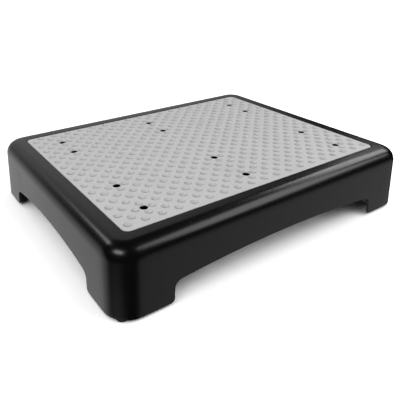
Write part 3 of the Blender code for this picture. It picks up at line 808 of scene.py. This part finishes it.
def mat_rubber():
    """Grey rubber, press-moulded with a fine matt skin: soft light, a faint sheen at low angles, and a
    slight mottle where filler and handling change its tone."""
    material, tree, shader = new_material("grey press-moulded rubber", "#cacaca", IOR=1.5)
    place = add_node(tree, "ShaderNodeTexCoord").outputs["Object"]
    mottle = add_node(tree, "ShaderNodeTexNoise", {
        "Vector": place, "Scale": 1 / 0.05, "Detail": 5.0, "Roughness": 0.6})
    speck = add_node(tree, "ShaderNodeTexNoise", {
        "Vector": place, "Scale": 1 / 0.0015, "Detail": 3.0, "Roughness": 0.7})
    blend = add_node(tree, "ShaderNodeMix", {
        0: 0.5, 2: mottle.outputs["Fac"], 3: speck.outputs["Fac"]}, data_type="FLOAT")
    tone = add_node(tree, "ShaderNodeMix", {
        0: blend.outputs[0], 6: to_linear("#c0c0c0"), 7: to_linear("#d5d5d5")}, data_type="RGBA")
    tree.links.new(tone.outputs[2], shader.inputs["Base Color"])
    dull = add_node(tree, "ShaderNodeMapRange", {
        "Value": blend.outputs[0], "From Min": 0.3, "From Max": 0.7, "To Min": 0.48, "To Max": 0.62})
    tree.links.new(dull.outputs[0], shader.inputs["Roughness"])
    grain = add_node(tree, "ShaderNodeTexNoise", {
        "Vector": place, "Scale": 1 / 0.0008, "Detail": 3.0, "Roughness": 0.6})
    skin_bump = add_node(tree, "ShaderNodeBump", {
        "Height": grain.outputs["Fac"], "Distance": 0.00006, "Strength": 0.6})
    tree.links.new(skin_bump.outputs[0], shader.inputs["Normal"])
    return material


def mat_ring(z, grow):
    return ring(z, mat_high.x + grow, mat_high.y + grow, MAT_RADIUS + grow)


sheet_loops = [mat_ring(mat_low.z, 0.0)]
for edge_step in range(MAT_EDGE_STEPS + 1):
    lift = math.pi / 2 * edge_step / MAT_EDGE_STEPS
    inset = MAT_EDGE * (1 - math.cos(lift))
    sheet_loops.append(mat_ring(mat_high.z - MAT_EDGE * (1 - math.sin(lift)), -inset))
sheet_loops.append(mat_ring(mat_high.z, -2 * MAT_EDGE))
mat = new_piece("tread_mat_sheet", to_mesh(lofted(sheet_loops), "tread_mat_sheet"))
bores = bmesh.new()
flares = bmesh.new()
for hole_x, hole_y in drain_places():
    add_cylinder(bores, hole_x, hole_y, mat_low.z - WALL, mat_high.z + WALL, DRAIN_RADIUS)
    add_cylinder(flares, hole_x, hole_y, mat_high.z - DRAIN_FLARE, mat_high.z + DRAIN_FLARE,
                 DRAIN_RADIUS, top_radius=DRAIN_RADIUS + 2 * DRAIN_FLARE)
cut_or_join(mat, bores, "DIFFERENCE")
cut_or_join(mat, flares, "DIFFERENCE")
smooth(mat, 28)
grey_rubber = mat_rubber()
stud_nodes, stud_keys = stud_tree()
row_middle = LATTICE_Y + STUD_PITCH * (FIRST_ROW + (STUD_ROWS - 1) / 2)
run_tree(mat, stud_nodes, stud_keys, {
    "Pitch": STUD_PITCH, "Columns": STUD_COLUMNS, "Rows": STUD_ROWS, "Stud Radius": STUD_RADIUS,
    "Stud Height": STUD_HEIGHT, "Centre": (LATTICE_X, row_middle, mat_high.z), "Root": STUD_ROOT,
    "Material": grey_rubber})
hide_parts("tread_mat")
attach(mat, "root")

# ---------------------------------------------------------------------------------------------
# Studio: a white floor with a painted glow and painted shade round the stool, four soft boxes over a dark
# room, a pale backdrop, and the camera. The floor is kept out of mirror reflections, which see the pale
# sweep around the set instead.

FLOOR_SIZE = 40.0
SHADE_REACH = 0.16
SHADE_FULL = 0.228  # the open share of the sky at which the floor's painted glow is out, as painted shade
SHADE_POWER = 0.31
PAINTED_GLOW_NEAR = (0.40, 0.52)  # distance from the middle, and the painted glow there, dimmer near the stool as painted shade
PAINTED_GLOW_FAR = (1.00, 0.95)
PANEL_DISTANCE = 2.4
CAMERA_PLACE = (-0.4436, -0.5910, 0.3954)
CAMERA_AZIMUTH = -33.32
CAMERA_ELEVATION = 28.79
CAMERA_ROLL = -0.59
CAMERA_LENS = 40.73
CAMERA_SHIFT = 0.0764


def toward(azimuth, elevation):
    """Unit direction; azimuth turns from +Y towards +X, both in degrees."""
    a = math.radians(azimuth)
    e = math.radians(elevation)
    return (math.sin(a) * math.cos(e), math.cos(a) * math.cos(e), math.sin(e))


def studio_floor():
    """White opal board, matt, given a painted glow: dimmer towards the middle, and cut into painted shade
    where the stool's occlusion darkens it.
    """
    material, tree, shader = new_material("white board with painted glow and shade", "#fcfcfc", Roughness=0.9)
    shader.inputs["Specular IOR Level"].default_value = 0.0
    shader.inputs["Emission Color"].default_value = (1.0, 1.0, 1.0, 1.0)
    # Painted shade: the floor's glow is cut where the stool's occlusion darkens the floor.
    shade = add_node(tree, "ShaderNodeAmbientOcclusion", {"Distance": SHADE_REACH})
    open_share = add_node(tree, "ShaderNodeMapRange", {
        "Value": shade.outputs["AO"], "From Min": SHADE_FULL, "From Max": 1.0})
    soft = add_node(tree, "ShaderNodeMath", {0: open_share.outputs[0], 1: SHADE_POWER}, operation="POWER")
    place = add_node(tree, "ShaderNodeTexCoord").outputs["Object"]
    out = add_node(tree, "ShaderNodeVectorMath", {0: place}, operation="LENGTH")
    # Painted shade: this ramp makes the floor's glow dimmer towards the middle, round the stool.
    glow = add_node(tree, "ShaderNodeMapRange", {
        "Value": out.outputs["Value"], "From Min": PAINTED_GLOW_NEAR[0], "From Max": PAINTED_GLOW_FAR[0],
        "To Min": PAINTED_GLOW_NEAR[1], "To Max": PAINTED_GLOW_FAR[1]})
    painted_glow = add_node(tree, "ShaderNodeMath", {0: glow.outputs[0], 1: soft.outputs[0]}, operation="MULTIPLY")
    tree.links.new(painted_glow.outputs[0], shader.inputs["Emission Strength"])
    return material


plane = bmesh.new()
bmesh.ops.create_grid(plane, x_segments=1, y_segments=1, size=FLOOR_SIZE / 2)
floor = new_piece("studio_floor", to_mesh(plane, "studio_floor"))
floor.data.materials.append(studio_floor())
floor.visible_glossy = False


def panel(name, azimuth, elevation, wide, tall, radiance):
    """A soft box facing the middle of the set; its width and height are angles seen from there."""
    lamp = bpy.data.lights.new(name, "AREA")
    lamp.shape = "RECTANGLE"
    lamp.size = 2 * PANEL_DISTANCE * math.tan(math.radians(wide / 2))
    lamp.size_y = 2 * PANEL_DISTANCE * math.tan(math.radians(tall / 2))
    lamp.energy = radiance * math.pi * lamp.size * lamp.size_y
    holder = bpy.data.objects.new(name, lamp)
    bpy.context.scene.collection.objects.link(holder)
    aim = Vector(toward(azimuth, elevation))
    holder.location = aim * PANEL_DISTANCE
    holder.rotation_euler = (-aim).to_track_quat("-Z", "Y").to_euler()


panel("right_front_box", 132.0, 42.0, 38.0, 26.0, 3.0)
panel("right_box", 80.0, 36.0, 28.0, 16.0, 3.95)
panel("left_front_box", -115.0, 40.0, 26.0, 16.0, 6.2)
panel("left_rear_box", -36.0, 42.0, 16.0, 12.0, 4.6)

# The room, as glows about a direction: azimuth, elevation, inner and outer angle, radiance
ROOM_GLOWS = {
    "backdrop": (10.0, 10.0, 20.0, 45.0, 0.52),
    "sweep_left": (-35.0, -30.0, 15.0, 45.0, 0.72),
    "sweep_right": (130.0, -30.0, 15.0, 40.0, 0.42),
    "sweep_near": (-110.0, -52.0, 8.0, 32.0, 0.41),
}
ROOM_BASE = 0.004
CEILING_FILL = (60.0, 80.0, 10.0, 50.0, 1.14)


def room_glow(tree, view, azimuth, elevation, inner, outer, radiance):
    """One disc of light round a direction, full inside one angle and gone past the other."""
    closeness = add_node(tree, "ShaderNodeVectorMath",
                         {0: view, 1: toward(azimuth, elevation)}, operation="DOT_PRODUCT")
    return add_node(tree, "ShaderNodeMapRange", {
        "Value": closeness.outputs["Value"], "From Min": math.cos(math.radians(outer)),
        "From Max": math.cos(math.radians(inner)), "To Min": 0.0, "To Max": radiance},
        interpolation_type="SMOOTHSTEP").outputs[0]


def studio_room():
    """The dark room with its pale areas, as soft-edged discs of light summed over a low base. The
    ceiling's fill lights matt surfaces but is flagged out of reflections, and the view past the floor
    is white."""
    world = bpy.data.worlds.new("studio")
    world.use_nodes = True
    tree = world.node_tree
    shader = tree.nodes["Background"]
    view = add_node(tree, "ShaderNodeTexCoord").outputs["Generated"]
    ray = add_node(tree, "ShaderNodeLightPath")
    fill = add_node(tree, "ShaderNodeMath", {
        0: room_glow(tree, view, *CEILING_FILL), 1: ray.outputs["Is Diffuse Ray"]}, operation="MULTIPLY")
    total = add_node(tree, "ShaderNodeMath", {0: fill.outputs[0], 1: ray.outputs["Is Camera Ray"]},
                     operation="ADD")
    total = add_node(tree, "ShaderNodeMath", {0: total.outputs[0], 1: ROOM_BASE}, operation="ADD")
    for glow in ROOM_GLOWS.values():
        total = add_node(tree, "ShaderNodeMath", {
            0: room_glow(tree, view, *glow), 1: total.outputs[0]}, operation="ADD")
    tree.links.new(total.outputs[0], shader.inputs["Strength"])
    shader.inputs["Color"].default_value = (1.0, 1.0, 1.0, 1.0)
    bpy.context.scene.world = world


studio_room()

turn = math.radians(CAMERA_AZIMUTH)
rise = math.radians(CAMERA_ELEVATION)
roll = math.radians(CAMERA_ROLL)
back = np.array((math.sin(turn) * math.cos(rise), -math.cos(turn) * math.cos(rise), math.sin(rise)))
level_right = np.array((math.cos(turn), math.sin(turn), 0.0))
level_up = np.cross(back, level_right)
right = math.cos(roll) * level_right + math.sin(roll) * level_up
up = math.cos(roll) * level_up - math.sin(roll) * level_right
camera = bpy.data.objects.new("camera", bpy.data.cameras.new("camera"))
bpy.context.scene.collection.objects.link(camera)
camera.data.lens = CAMERA_LENS
camera.data.shift_x = CAMERA_SHIFT
axes = np.eye(4)
axes[:3, :4] = np.column_stack([right, up, back, CAMERA_PLACE])
camera.matrix_world = Matrix(axes.tolist())
bpy.context.scene.camera = camera
bpy.context.scene.view_settings.view_transform = "Standard"
